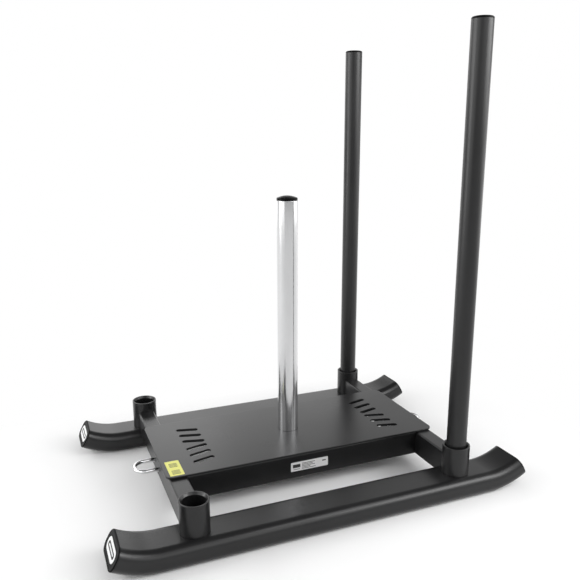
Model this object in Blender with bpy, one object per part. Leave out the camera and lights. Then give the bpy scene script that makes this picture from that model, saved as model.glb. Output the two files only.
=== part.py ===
"""Weight sled: bent runners, a slotted deck with a plate post, and two lift-out push poles.

Blender 4.5, metres, +Z up. X runs along the runners, with the open sockets at -X and
the push poles at +X. Left is -Y, as seen by whoever pushes towards -X. The origin is
on the floor under the middle of the deck.
"""

import math

import bmesh
import bpy

# Fit between neighbouring pieces
GAP = 0.0003
WELD_DISTANCE = 0.000001
LEAST_FLAT = 0.0002
LEAST_CORNER = 0.0005

# Runners: rounded rectangular tubes, straight in the middle and bent up at both ends
RUNNER_SPACING = 0.5538
RUNNER_WIDTH = 0.100
RUNNER_HEIGHT = 0.050
RUNNER_CORNER = 0.020
RUNNER_WALL = 0.002
BEND_RADIUS = 0.160
BEND_ANGLE = math.radians(29.0)
BEND_SETBACK = 0.0413

# Runner end caps: a flat flange with a ribbed plug that grips inside the tube
END_CAP_FLANGE = 0.003
END_CAP_ROUND = 0.001
END_CAP_PLUG = 0.014
END_CAP_RIB = 0.0012
END_CAP_RIBS = 2

# Push poles and their sockets
SOCKET_SPACING = 0.6286
SOCKET_HEIGHT = 0.0701
SOCKET_WALL = 0.0064
SOCKET_CHAMFER = 0.0035
SOCKET_ROUND = 0.0015
POLE_DIAMETER = 0.046
POLE_WALL = 0.002
POLE_LENGTH = 1.000
POLE_CHAMFER = 0.0015
POLE_PLAY = 0.002
POLE_CAP_RIM = 0.002
POLE_CAP_DOME = 0.003

# Crossbars, deck rails and the crossmember under the post
CROSSBAR_WIDTH = 0.040
CROSSBAR_WALL = 0.002
RAIL_SPACING = 0.246
RAIL_WIDTH = 0.030
RAIL_WALL = 0.002
FRAME_TUBE_HEIGHT = 0.060
FRAME_TUBE_CORNER = 0.004
FRAME_UNDERSIDE = 0.035

# Deck plate, with a row of leaning slots at each end
DECK_THICKNESS = 0.005
DECK_END_OVERHANG = 0.0067
DECK_SIDE_OVERHANG = 0.004
DECK_CORNER = 0.016
DECK_EDGE_ROUND = 0.001
SLOT_COUNT = 6
SLOT_LENGTH = 0.054
SLOT_WIDTH = 0.013
SLOT_PITCH = 0.0335
SLOT_INSET = 0.099
SLOT_LEAN = math.radians(14.0)

# Plate post, through a hole in the deck and bolted down onto the crossmember
POST_DIAMETER = 0.050
POST_WALL = 0.0025
POST_HEIGHT = 0.5833
POST_HOLE_PLAY = 0.0003
POST_BASE = 0.012
POST_CAP_RIM = 0.003
POST_CAP_DOME = 0.005
BOLT_DIAMETER = 0.016
BOLT_HOLE_PLAY = 0.0005
BOLT_HEAD_WIDTH = 0.024
BOLT_HEAD_HEIGHT = 0.010
BOLT_TIP = 0.004
POST_WASHER_DIAMETER = 0.030
POST_WASHER_THICKNESS = 0.003

# Plugs of the round caps
ROUND_CAP_PLUG = 0.012
ROUND_CAP_RIB = 0.0012
ROUND_CAP_RIBS = 2

# Tow loops: bent rods with threaded legs, through both walls of a crossbar
LOOP_ROD = 0.010
LOOP_SPREAD = 0.052
LOOP_REACH = 0.0545
LOOP_TAIL = 0.013
LOOP_HOLE_PLAY = 0.0005
LOOP_WASHER_DIAMETER = 0.020
LOOP_WASHER_THICKNESS = 0.002
LOOP_NUT_WIDTH = 0.017
LOOP_NUT_HEIGHT = 0.008

# Facets
CORNER_STEPS = 5
TUBE_CORNER_STEPS = 3
SLOT_STEPS = 4
BEND_STEPS = 6
LOOP_STEPS = 12
LOOP_SIDES = 12
ROUND_SIDES = 36
CAP_SIDES = 24
HEX_SIDES = 12
WASHER_SIDES = 16
DOME_STEPS = 4
SMOOTH_ANGLE = math.radians(32.0)

# Colour, roughness and metallic value of each finish
FINISHES = {
    "powder_coat": ((0.030, 0.030, 0.032), 0.42, 0.0),
    "chrome": ((0.78, 0.78, 0.80), 0.10, 1.0),
    "plastic": ((0.012, 0.012, 0.013), 0.50, 0.0),
    "zinc": ((0.60, 0.61, 0.63), 0.35, 1.0),
}

# Sizes worked out from those above
RUNNER_Y = RUNNER_SPACING / 2
SOCKET_X = SOCKET_SPACING / 2
SOCKET_BORE = POLE_DIAMETER + 2 * POLE_PLAY
SOCKET_DIAMETER = SOCKET_BORE + 2 * SOCKET_WALL
BEND_START = SOCKET_X + SOCKET_DIAMETER / 2 + BEND_SETBACK
RUNNER_TOP = RUNNER_HEIGHT + GAP
FRAME_MIDDLE = FRAME_UNDERSIDE + FRAME_TUBE_HEIGHT / 2
FRAME_TOP = FRAME_UNDERSIDE + FRAME_TUBE_HEIGHT
DECK_LENGTH = SOCKET_SPACING + CROSSBAR_WIDTH + 2 * DECK_END_OVERHANG
DECK_WIDTH = RAIL_SPACING + RAIL_WIDTH + 2 * DECK_SIDE_OVERHANG
DECK_UNDERSIDE = FRAME_TOP + GAP
DECK_TOP = DECK_UNDERSIDE + DECK_THICKNESS
POST_FOOT = FRAME_TOP + GAP
SIDES = (("left", -1), ("right", 1))
ENDS = (("front", -1), ("rear", 1))


def clear_scene():
    """Takes every object out of the scene."""
    for item in list(bpy.data.objects):
        bpy.data.objects.remove(item, do_unlink=True)


def surface(name, finish):
    """A sub-part's own material, in one of the finishes."""
    colour, roughness, metallic = FINISHES[finish]
    made = bpy.data.materials.new(f"{name}_{finish}")
    made.use_nodes = True
    shader = made.node_tree.nodes["Principled BSDF"]
    shader.inputs["Base Color"].default_value = (*colour, 1.0)
    shader.inputs["Roughness"].default_value = roughness
    shader.inputs["Metallic"].default_value = metallic
    return made


def add_object(name, bm, location=(0.0, 0.0, 0.0), turn=0.0, tilt=0.0):
    """Names a closed mesh and places it: tilted about Y, then turned about Z."""
    bmesh.ops.recalc_face_normals(bm, faces=bm.faces)
    mesh = bpy.data.meshes.new(name)
    bm.to_mesh(mesh)
    bm.free()
    mesh.shade_smooth()
    mesh.set_sharp_from_angle(angle=SMOOTH_ANGLE)
    item = bpy.data.objects.new(name, mesh)
    item.location = location
    item.rotation_euler = (0.0, tilt, turn)
    bpy.context.scene.collection.objects.link(item)
    return item


def add_part(name, bm, finish, **place):
    """Adds a sub-part with its own material."""
    item = add_object(name, bm, **place)
    item.data.materials.append(surface(name, finish))
    return item


def add_cutter(name, bm, **place):
    """Adds a shape that only cuts others."""
    item = add_object(name, bm, **place)
    item.hide_render = True
    item.display_type = "WIRE"
    return item


def cut(item, cutter):
    """Takes a cutter's shape out of a sub-part."""
    change = item.modifiers.new(cutter.name, "BOOLEAN")
    change.operation = "DIFFERENCE"
    change.solver = "EXACT"
    change.object = cutter


def rounded_outline(width, height, corner, steps):
    """Points round a rectangle with rounded corners, centred on zero."""
    corner = min(corner, width / 2 - LEAST_FLAT, height / 2 - LEAST_FLAT)
    points = []
    for quarter, (side_u, side_v) in enumerate(((1, 1), (-1, 1), (-1, -1), (1, -1))):
        centre_u = side_u * (width / 2 - corner)
        centre_v = side_v * (height / 2 - corner)
        for step in range(steps + 1):
            angle = (quarter + step / steps) * math.pi / 2
            points.append((centre_u + corner * math.cos(angle), centre_v + corner * math.sin(angle)))
    return points


def inset_outline(width, height, corner, inset, steps):
    """The same outline moved inwards by an even distance."""
    return rounded_outline(width - 2 * inset, height - 2 * inset, max(corner - inset, LEAST_CORNER), steps)


def circle_outline(radius, sides):
    """Points round a circle."""
    angles = [2 * math.pi * side / sides for side in range(sides)]
    return [(radius * math.cos(angle), radius * math.sin(angle)) for angle in angles]


def hex_outline(across_flats, sides):
    """Points on the sides of a hexagon, at even angles."""
    points = []
    for side in range(sides):
        angle = 2 * math.pi * side / sides
        off_flat = (angle + math.pi / 6) % (math.pi / 3) - math.pi / 6
        radius = across_flats / 2 / math.cos(off_flat)
        points.append((radius * math.cos(angle), radius * math.sin(angle)))
    return points


def turn_outline(outline, angle):
    """The same outline turned about zero."""
    cosine = math.cos(angle)
    sine = math.sin(angle)
    return [(u * cosine - v * sine, u * sine + v * cosine) for u, v in outline]


def across_x(outline, x, centre_y=0.0, centre_z=0.0):
    """Stands an outline up square to the X axis."""
    return [(x, centre_y + u, centre_z + v) for u, v in outline]


def across_y(outline, y):
    """Stands an outline up square to the Y axis."""
    return [(u, y, v) for u, v in outline]


def across_z(outline, z, centre_x=0.0, centre_y=0.0):
    """Lays an outline flat at a height."""
    return [(centre_x + u, centre_y + v, z) for u, v in outline]


def corners_on(bm, outline):
    """A new corner at each point of an outline."""
    return [bm.verts.new(point) for point in outline]


def join_rings(bm, start, end):
    """Band of faces between two rings with as many corners, joined in their order."""
    pairs = zip(zip(start, start[1:] + start[:1]), zip(end, end[1:] + end[:1]))
    return [bm.faces.new((first, second, fourth, third)) for (first, second), (third, fourth) in pairs]


def solid_end(bm, outline):
    """One flat face over an outline."""
    return [bm.faces.new(corners_on(bm, outline))]


def hollow_end(bm, outer, inner):
    """Flat band between two outlines with as many points."""
    return join_rings(bm, corners_on(bm, outer), corners_on(bm, inner))


def with_rim(faces):
    """Faces with their edges, so that sweeping them leaves no inner face behind."""
    return list(faces) + list(dict.fromkeys(edge for face in faces for edge in face.edges))


def push(bm, faces, offset):
    """Extrudes an end face along a straight line and returns the new end."""
    grown = bmesh.ops.extrude_face_region(bm, geom=with_rim(faces))["geom"]
    corners = [item for item in grown if isinstance(item, bmesh.types.BMVert)]
    bmesh.ops.translate(bm, verts=corners, vec=offset)
    return [item for item in grown if isinstance(item, bmesh.types.BMFace)]


def bend(bm, faces, centre, axis, angle, steps):
    """Sweeps an end face round an axis and returns the new end."""
    swept = bmesh.ops.spin(bm, geom=with_rim(faces), cent=centre, axis=axis, angle=angle, steps=steps)
    return [item for item in swept["geom_last"] if isinstance(item, bmesh.types.BMFace)]


def loft(bm, outlines):
    """Solid through a row of outlines with as many points, closed by a flat face at each end."""
    rings = [corners_on(bm, outline) for outline in outlines]
    for start, end in zip(rings, rings[1:]):
        join_rings(bm, start, end)
    for ring in (rings[0], rings[-1]):
        bm.faces.new(ring)


def turned(bm, profile, sides, closed):
    """Revolves a profile of (radius, height) points round the Z axis."""
    corners = [bm.verts.new((radius, 0.0, height)) for radius, height in profile]
    edges = [bm.edges.new(pair) for pair in zip(corners, corners[1:])]
    if closed:
        edges.append(bm.edges.new((corners[-1], corners[0])))
    bmesh.ops.spin(
        bm,
        geom=corners + edges,
        cent=(0.0, 0.0, 0.0),
        axis=(0.0, 0.0, 1.0),
        angle=2 * math.pi,
        steps=sides,
        use_merge=True,
    )
    bmesh.ops.remove_doubles(bm, verts=bm.verts, dist=WELD_DISTANCE)


def rib_steps(root, tip, depth, ribs):
    """Plug profile from its inner end to its flange: (inset, distance from the flange)."""
    pitch = depth / (2 * ribs)
    steps = []
    for rib in range(ribs):
        start = depth - 2 * rib * pitch
        steps += [(root, start), (tip, start - pitch / 2), (tip, start - pitch), (root, start - pitch)]
    return steps


def runner_section(inset):
    """Outline of a runner's tube, moved inwards by an even distance."""
    return inset_outline(RUNNER_WIDTH, RUNNER_HEIGHT, RUNNER_CORNER, inset, CORNER_STEPS)


def add_runner(name, y):
    """Hollow tube, straight between the sockets' ends and bent up at the front and rear."""
    bm = bmesh.new()
    outer = across_x(runner_section(0.0), -BEND_START)
    inner = across_x(runner_section(RUNNER_WALL), -BEND_START)
    front = hollow_end(bm, outer, inner)
    rear = push(bm, front, (2 * BEND_START, 0.0, 0.0))
    pivot_z = RUNNER_HEIGHT / 2 + BEND_RADIUS
    bend(bm, rear, (BEND_START, 0.0, pivot_z), (0.0, -1.0, 0.0), BEND_ANGLE, BEND_STEPS)
    bend(bm, front, (-BEND_START, 0.0, pivot_z), (0.0, 1.0, 0.0), BEND_ANGLE, BEND_STEPS)
    return add_part(name, bm, "powder_coat", location=(0.0, y, RUNNER_HEIGHT / 2))


def add_end_cap(name, end, y):
    """Cap square to a runner's bent end, its plug slim enough to follow the bend."""
    bend_drift = END_CAP_PLUG ** 2 / (2 * BEND_RADIUS)
    tip = RUNNER_WALL + GAP + bend_drift
    root = tip + END_CAP_RIB
    bm = bmesh.new()
    plug = [
        across_x(runner_section(inset), GAP - distance)
        for inset, distance in rib_steps(root, tip, END_CAP_PLUG, END_CAP_RIBS)
    ]
    flange = [
        across_x(runner_section(root), GAP),
        across_x(runner_section(0.0), GAP),
        across_x(runner_section(0.0), GAP + END_CAP_FLANGE - END_CAP_ROUND),
        across_x(runner_section(END_CAP_ROUND), GAP + END_CAP_FLANGE),
    ]
    loft(bm, plug + flange)
    centre_radius = BEND_RADIUS + RUNNER_HEIGHT / 2
    x = BEND_START + centre_radius * math.sin(BEND_ANGLE)
    z = RUNNER_HEIGHT + BEND_RADIUS - centre_radius * math.cos(BEND_ANGLE)
    turn = 0.0 if end > 0 else math.pi
    return add_part(name, bm, "plastic", location=(end * x, y, z), tilt=-BEND_ANGLE, turn=turn)


def add_socket(name, x, y):
    """Thick pole socket with a rounded rim and a chamfered mouth."""
    outer = SOCKET_DIAMETER / 2
    bore = SOCKET_BORE / 2
    chamfer = min(SOCKET_CHAMFER, SOCKET_WALL - SOCKET_ROUND - LEAST_FLAT)
    rim_turn = SOCKET_ROUND * (1 - math.cos(math.pi / 4))
    profile = [
        (bore, 0.0),
        (outer, 0.0),
        (outer, SOCKET_HEIGHT - SOCKET_ROUND),
        (outer - rim_turn, SOCKET_HEIGHT - rim_turn),
        (outer - SOCKET_ROUND, SOCKET_HEIGHT),
        (bore + chamfer, SOCKET_HEIGHT),
        (bore, SOCKET_HEIGHT - chamfer),
    ]
    bm = bmesh.new()
    turned(bm, profile, ROUND_SIDES, closed=True)
    return add_part(name, bm, "powder_coat", location=(x, y, RUNNER_TOP))


def rod_between(bm, start, end, radius, sides):
    """Round bar along X between two points."""
    length = end[0] - start[0]
    face = solid_end(bm, across_x(circle_outline(radius, sides), start[0], start[1], start[2]))
    push(bm, face, (length, 0.0, 0.0))


def add_coping_cutters():
    """Outsides of the sockets and of the runners, one gap larger, that shape the crossbars' ends."""
    cutters = []
    for side_name, side in SIDES:
        bm = bmesh.new()
        section = across_x(runner_section(-GAP), -BEND_START)
        push(bm, solid_end(bm, section), (2 * BEND_START, 0.0, 0.0))
        cutters.append(add_cutter(f"{side_name}_runner_cope", bm, location=(0.0, side * RUNNER_Y, RUNNER_HEIGHT / 2)))
        for end_name, end in ENDS:
            bm = bmesh.new()
            circle = circle_outline(SOCKET_DIAMETER / 2 + GAP, ROUND_SIDES)
            push(bm, solid_end(bm, across_z(circle, 0.0)), (0.0, 0.0, RUNNER_TOP + FRAME_TOP + SOCKET_HEIGHT))
            place = (end * SOCKET_X, side * RUNNER_Y, 0.0)
            cutters.append(add_cutter(f"{end_name}_{side_name}_socket_cope", bm, location=place))
    return cutters


def add_crossbar(name, end, copes):
    """Rectangular tube coped to the sockets and runners, drilled for a tow loop."""
    outer = rounded_outline(CROSSBAR_WIDTH, FRAME_TUBE_HEIGHT, FRAME_TUBE_CORNER, TUBE_CORNER_STEPS)
    inner = inset_outline(CROSSBAR_WIDTH, FRAME_TUBE_HEIGHT, FRAME_TUBE_CORNER, CROSSBAR_WALL, TUBE_CORNER_STEPS)
    bm = bmesh.new()
    start = hollow_end(bm, across_y(outer, -RUNNER_Y), across_y(inner, -RUNNER_Y))
    push(bm, start, (0.0, RUNNER_SPACING, 0.0))
    bar = add_part(name, bm, "powder_coat", location=(end * SOCKET_X, 0.0, FRAME_MIDDLE))
    for cope in copes:
        cut(bar, cope)
    bm = bmesh.new()
    for side in (-1, 1):
        hole = LOOP_ROD / 2 + LOOP_HOLE_PLAY
        y = side * LOOP_SPREAD / 2
        rod_between(bm, (-CROSSBAR_WIDTH, y, 0.0), (CROSSBAR_WIDTH, y, 0.0), hole, LOOP_SIDES)
    cut(bar, add_cutter(f"{name}_drill", bm, location=(end * SOCKET_X, 0.0, FRAME_MIDDLE)))
    return bar


def frame_tube(bm, along, length):
    """Hollow deck tube of the rails' stock, along X or Y and centred on the origin."""
    outer = rounded_outline(RAIL_WIDTH, FRAME_TUBE_HEIGHT, FRAME_TUBE_CORNER, TUBE_CORNER_STEPS)
    inner = inset_outline(RAIL_WIDTH, FRAME_TUBE_HEIGHT, FRAME_TUBE_CORNER, RAIL_WALL, TUBE_CORNER_STEPS)
    stand, step = (across_x, (length, 0.0, 0.0)) if along == "x" else (across_y, (0.0, length, 0.0))
    push(bm, hollow_end(bm, stand(outer, -length / 2), stand(inner, -length / 2)), step)


def add_rail(name, side):
    """Deck rail between the two crossbars."""
    bm = bmesh.new()
    frame_tube(bm, "x", SOCKET_SPACING - CROSSBAR_WIDTH - 2 * GAP)
    return add_part(name, bm, "powder_coat", location=(0.0, side * RAIL_SPACING / 2, FRAME_MIDDLE))


def round_drill(name, radius, sides):
    """Upright round cutter through the crossmember and the deck."""
    bm = bmesh.new()
    push(bm, solid_end(bm, across_z(circle_outline(radius, sides), 0.0)), (0.0, 0.0, 2 * DECK_TOP))
    return add_cutter(name, bm)


def add_crossmember():
    """Tube between the rails that carries the post, drilled for its bolt."""
    bm = bmesh.new()
    frame_tube(bm, "y", RAIL_SPACING - RAIL_WIDTH - 2 * GAP)
    bar = add_part("centre_crossmember", bm, "powder_coat", location=(0.0, 0.0, FRAME_MIDDLE))
    cut(bar, round_drill("post_bolt_drill", BOLT_DIAMETER / 2 + BOLT_HOLE_PLAY, HEX_SIDES))


def add_deck():
    """Plate over the frame with softened edges, the post's hole and a row of leaning slots at each end."""
    bm = bmesh.new()
    outline = rounded_outline(DECK_LENGTH, DECK_WIDTH, DECK_CORNER, CORNER_STEPS)
    push(bm, solid_end(bm, across_z(outline, 0.0)), (0.0, 0.0, DECK_THICKNESS))
    deck = add_part("deck_plate", bm, "powder_coat", location=(0.0, 0.0, DECK_UNDERSIDE))
    edge = deck.modifiers.new("soft_edges", "BEVEL")
    edge.width = min(DECK_EDGE_ROUND, DECK_THICKNESS / 2 - LEAST_FLAT)
    edge.segments = 2
    edge.limit_method = "ANGLE"
    edge.angle_limit = SMOOTH_ANGLE

    bm = bmesh.new()
    slot = rounded_outline(SLOT_LENGTH, SLOT_WIDTH, SLOT_WIDTH / 2, SLOT_STEPS)
    for end in (-1, 1):
        x = end * (DECK_LENGTH / 2 - SLOT_INSET)
        for row in range(SLOT_COUNT):
            y = (row - (SLOT_COUNT - 1) / 2) * SLOT_PITCH
            leaning = turn_outline(slot, math.copysign(SLOT_LEAN, end * y))
            face = solid_end(bm, across_z(leaning, -DECK_THICKNESS, x, y))
            push(bm, face, (0.0, 0.0, 3 * DECK_THICKNESS))
    cut(deck, add_cutter("deck_slots", bm, location=(0.0, 0.0, DECK_UNDERSIDE)))
    cut(deck, round_drill("post_hole", POST_DIAMETER / 2 + POST_HOLE_PLAY, ROUND_SIDES))


def round_cap(bm, tube_diameter, tube_wall, rim, dome):
    """Domed cap with a ribbed plug, seated on a round tube's end at height zero."""
    radius = tube_diameter / 2
    inside = radius - tube_wall
    ribs = rib_steps(GAP + ROUND_CAP_RIB, GAP, ROUND_CAP_PLUG, ROUND_CAP_RIBS)
    profile = [(0.0, GAP - ROUND_CAP_PLUG)]
    profile += [(inside - inset, GAP - distance) for inset, distance in ribs]
    profile += [(inside - GAP - ROUND_CAP_RIB, GAP), (radius, GAP)]
    for step in range(DOME_STEPS + 1):
        angle = step / DOME_STEPS * math.pi / 2
        profile.append((radius * math.cos(angle), GAP + rim + dome * math.sin(angle)))
    turned(bm, profile, CAP_SIDES, closed=False)


def add_post():
    """Plate post: a tube with a tapped base, and its domed cap."""
    outer = POST_DIAMETER / 2
    inner = outer - POST_WALL
    tapped = BOLT_DIAMETER / 2 + GAP
    profile = [
        (tapped, 0.0),
        (outer, 0.0),
        (outer, POST_HEIGHT),
        (inner, POST_HEIGHT),
        (inner, POST_BASE),
        (tapped, POST_BASE),
    ]
    bm = bmesh.new()
    turned(bm, profile, ROUND_SIDES, closed=True)
    post = add_part("weight_post", bm, "chrome", location=(0.0, 0.0, POST_FOOT))
    bm = bmesh.new()
    round_cap(bm, POST_DIAMETER, POST_WALL, POST_CAP_RIM, POST_CAP_DOME)
    cap = add_part("weight_post_cap", bm, "plastic", location=(0.0, 0.0, POST_HEIGHT))
    cap.parent = post


def add_post_bolt():
    """Hexagon bolt and washer that pull the post down onto the crossmember."""
    washer_z = FRAME_UNDERSIDE - GAP - POST_WASHER_THICKNESS
    bm = bmesh.new()
    washer = circle_outline(POST_WASHER_DIAMETER / 2, WASHER_SIDES)
    hole = circle_outline(BOLT_DIAMETER / 2 + GAP, WASHER_SIDES)
    end = hollow_end(bm, across_z(washer, 0.0), across_z(hole, 0.0))
    push(bm, end, (0.0, 0.0, POST_WASHER_THICKNESS))
    add_part("post_bolt_washer", bm, "zinc", location=(0.0, 0.0, washer_z))

    seat = washer_z - GAP
    head = hex_outline(BOLT_HEAD_WIDTH, HEX_SIDES)
    shank = circle_outline(BOLT_DIAMETER / 2, HEX_SIDES)
    tip = POST_FOOT + POST_BASE + BOLT_TIP - seat
    bm = bmesh.new()
    loft(
        bm,
        [
            across_z(head, -BOLT_HEAD_HEIGHT),
            across_z(head, 0.0),
            across_z(shank, 0.0),
            across_z(shank, tip),
        ],
    )
    add_part("post_bolt", bm, "zinc", location=(0.0, 0.0, seat))


def add_tow_loop(name, end):
    """Bent rod through a crossbar, with a washer and a nut on each threaded leg."""
    place = {"location": (end * SOCKET_X, 0.0, FRAME_MIDDLE), "turn": 0.0 if end > 0 else math.pi}
    half = LOOP_SPREAD / 2
    outer_face = CROSSBAR_WIDTH / 2
    nut_x = -outer_face - 2 * GAP - LOOP_WASHER_THICKNESS - LOOP_NUT_HEIGHT
    leg_start = nut_x - (LOOP_TAIL - LOOP_NUT_HEIGHT - LOOP_WASHER_THICKNESS)
    bend_x = outer_face + LOOP_REACH - half
    bm = bmesh.new()
    tip = solid_end(bm, across_x(circle_outline(LOOP_ROD / 2, LOOP_SIDES), leg_start, half))
    leg = push(bm, tip, (bend_x - leg_start, 0.0, 0.0))
    bow = bend(bm, leg, (bend_x, 0.0, 0.0), (0.0, 0.0, -1.0), math.pi, LOOP_STEPS)
    push(bm, bow, (leg_start - bend_x, 0.0, 0.0))
    add_part(name, bm, "chrome", **place)

    washer = circle_outline(LOOP_WASHER_DIAMETER / 2, WASHER_SIDES)
    nut = hex_outline(LOOP_NUT_WIDTH, HEX_SIDES)
    washer_x = -outer_face - GAP - LOOP_WASHER_THICKNESS
    stack = (("washer", washer, washer_x, LOOP_WASHER_THICKNESS), ("nut", nut, nut_x, LOOP_NUT_HEIGHT))
    for kind, outline, x, thickness in stack:
        hole = circle_outline(LOOP_ROD / 2 + GAP, len(outline))
        for side_name, side in SIDES:
            y = end * side * half
            bm = bmesh.new()
            face = hollow_end(bm, across_x(outline, x, y), across_x(hole, x, y))
            push(bm, face, (thickness, 0.0, 0.0))
            add_part(f"{name}_{side_name}_{kind}", bm, "zinc", **place)


def add_push_pole(name, y):
    """Push pole standing in its rear socket, with its domed cap."""
    outer = POLE_DIAMETER / 2
    inner = outer - POLE_WALL
    chamfer = min(POLE_CHAMFER, POLE_WALL - LEAST_FLAT)
    profile = [
        (inner, 0.0),
        (outer - chamfer, 0.0),
        (outer, chamfer),
        (outer, POLE_LENGTH),
        (inner, POLE_LENGTH),
    ]
    bm = bmesh.new()
    turned(bm, profile, ROUND_SIDES, closed=True)
    pole = add_part(name, bm, "powder_coat", location=(SOCKET_X, y, RUNNER_TOP))
    bm = bmesh.new()
    round_cap(bm, POLE_DIAMETER, POLE_WALL, POLE_CAP_RIM, POLE_CAP_DOME)
    cap = add_part(f"{name}_cap", bm, "plastic", location=(0.0, 0.0, POLE_LENGTH))
    cap.parent = pole


def build():
    """Builds the sled from the floor up."""
    clear_scene()
    for side_name, side in SIDES:
        add_runner(f"{side_name}_runner", side * RUNNER_Y)
        add_rail(f"{side_name}_deck_rail", side)
        add_push_pole(f"{side_name}_push_pole", side * RUNNER_Y)
    copes = add_coping_cutters()
    for end_name, end in ENDS:
        add_crossbar(f"{end_name}_crossbar", end, copes)
        add_tow_loop(f"{end_name}_tow_loop", end)
        for side_name, side in SIDES:
            add_socket(f"{end_name}_{side_name}_socket", end * SOCKET_X, side * RUNNER_Y)
            add_end_cap(f"{end_name}_{side_name}_end_cap", end, side * RUNNER_Y)
    add_crossmember()
    add_deck()
    add_post()
    add_post_bolt()


build()
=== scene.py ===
"""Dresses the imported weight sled: painted tube frame, chrome post and tow loops, push poles, caps and labels.

Every piece is a surface worked out with numpy in the sled's own frame, in metres: +X is the rear, where the
push poles stand, -Y is the left side and +Z is up, with the floor at zero.
"""

import logging
import math
from collections.abc import Callable, Mapping, Sequence
from dataclasses import dataclass, field, replace
from enum import Enum

import bmesh
import bpy
import numpy as np
from mathutils import Matrix, Vector
from mathutils.geometry import delaunay_2d_cdt

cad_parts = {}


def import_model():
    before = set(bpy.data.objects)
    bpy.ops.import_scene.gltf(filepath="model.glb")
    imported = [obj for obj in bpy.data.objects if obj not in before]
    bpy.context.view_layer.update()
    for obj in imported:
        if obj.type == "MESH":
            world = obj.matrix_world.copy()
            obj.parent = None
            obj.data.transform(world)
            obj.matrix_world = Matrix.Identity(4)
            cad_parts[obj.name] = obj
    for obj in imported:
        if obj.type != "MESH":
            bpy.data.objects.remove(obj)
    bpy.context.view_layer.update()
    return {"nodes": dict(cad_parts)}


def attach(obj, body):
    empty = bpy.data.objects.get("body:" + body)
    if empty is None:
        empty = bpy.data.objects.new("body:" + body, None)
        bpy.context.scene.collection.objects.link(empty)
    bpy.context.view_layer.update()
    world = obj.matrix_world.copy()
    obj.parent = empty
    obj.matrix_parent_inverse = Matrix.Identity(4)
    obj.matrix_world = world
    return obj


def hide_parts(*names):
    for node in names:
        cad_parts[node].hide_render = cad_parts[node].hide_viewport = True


LOG = logging.getLogger("weight_sled")
TURN = 2.0 * math.pi
GAP = 0.0003  # between pieces that touch on the real sled
CRISP = 0.0002  # between the two rings of an edge that stays crisp
SUPPORT = 0.0005  # from an edge to the ring that keeps its face flat
SUPPORT_SHARE = 0.3  # of a side's free length, at most
HEXAGON_FACE = 0.95  # width of a nut's round face, as a share of its flats' width
CHAMFER_STEPS = 7  # rings to the chamfer of a nut's face
THREAD_STEPS = 10  # rings to a thread's pitch
BLEND_SHARE, BLEND_FIRST, BLEND_SECOND, BLEND_RESULT = 0, 6, 7, 2  # a colour blend's sockets by number
SOFT_EDGE_ANGLE = math.radians(38.0)
MERGE_DISTANCE = 1e-9
INSIDE_LINES = 1  # the fill's choice of triangles
PICTURE_WIDTH = 580.0
X_AXIS, Y_AXIS, Z_AXIS = np.eye(3)
Array = np.ndarray
Pair = tuple[float, float]
Triple = tuple[float, float, float]
Box = tuple[float, float, float, float]
Places = tuple[Array, Array, Array]  # points and two directions at each
Wire = bpy.types.NodeSocket


class Choice(Enum):
    """A choice whose name stands in the names of pieces."""

    @property
    def word(self) -> str:
        """The name in small letters."""
        return self.name.lower()


class Side(Choice):
    """The sled's two sides, with the sign of Y on each."""

    LEFT = -1
    RIGHT = 1


class End(Choice):
    """The sled's two ends, with the sign of X on each."""

    FRONT = -1
    REAR = 1


class Body(Enum):
    """What a piece moves with."""

    SLED = "sled"
    LEFT_POLE = "left_pole"
    RIGHT_POLE = "right_pole"


class Slot(Enum):
    """The record's finishes."""

    FRAME = "powder_coat"
    POLE = "pole_coat"
    POST = "post_chrome"
    LOOP = "loop_chrome"
    ZINC = "zinc_plate"
    CAP = "cap_plastic"


class Pattern(Enum):
    """A texture: its node, the output that is taken, and the span of its values that is used."""

    NOISE = ("TexNoise", "Fac", 0.3, 0.7)
    CELLS = ("TexVoronoi", "Color", 0.0, 1.0)
    PITS = ("TexVoronoi", "Distance", 0.0, 1.0)


# Finishes


class Bench:
    """Lays out the nodes of one material or world."""

    def __init__(self, tree: bpy.types.NodeTree) -> None:
        """Starts from an empty tree."""
        self.tree = tree
        tree.nodes.clear()

    def add(self, kind: str, sockets: Mapping[str | int, object] | None = None,
            **choices: object) -> bpy.types.bpy_prop_collection:
        """Adds a node.

        Args:
            kind: The node's type, without the words that all types start with.
            sockets: Input sockets by name or number, each with a value or with the output that feeds it.
            **choices: The node's own settings.

        Returns:
            The node's outputs.
        """
        node = self.tree.nodes.new(f"ShaderNode{kind}")
        for key, choice in choices.items():
            setattr(node, key, choice)
        for key, value in (sockets or {}).items():
            if isinstance(value, Wire):
                self.tree.links.new(value, node.inputs[key])
            else:
                node.inputs[key].default_value = value
        return node.outputs

    def spread(self, value: Wire, low: object, high: object, start: float, stop: float) -> Wire:
        """Carries start..stop of a value over to low..high."""
        sockets = {"Value": value, "From Min": start, "From Max": stop, "To Min": low, "To Max": high}
        return self.add("MapRange", sockets)["Result"]

    def math(self, operation: str, first: object, second: object) -> Wire:
        """One operation on two values."""
        return self.add("Math", {0: first, 1: second}, operation=operation)[0]

    def rays(self) -> tuple[Wire, Wire]:
        """Whether a ray comes from the camera, and whether it was mirrored or went through glass."""
        path = self.add("LightPath")
        return path["Is Camera Ray"], self.math("MAXIMUM", path["Is Glossy Ray"], path["Is Transmission Ray"])


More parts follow.
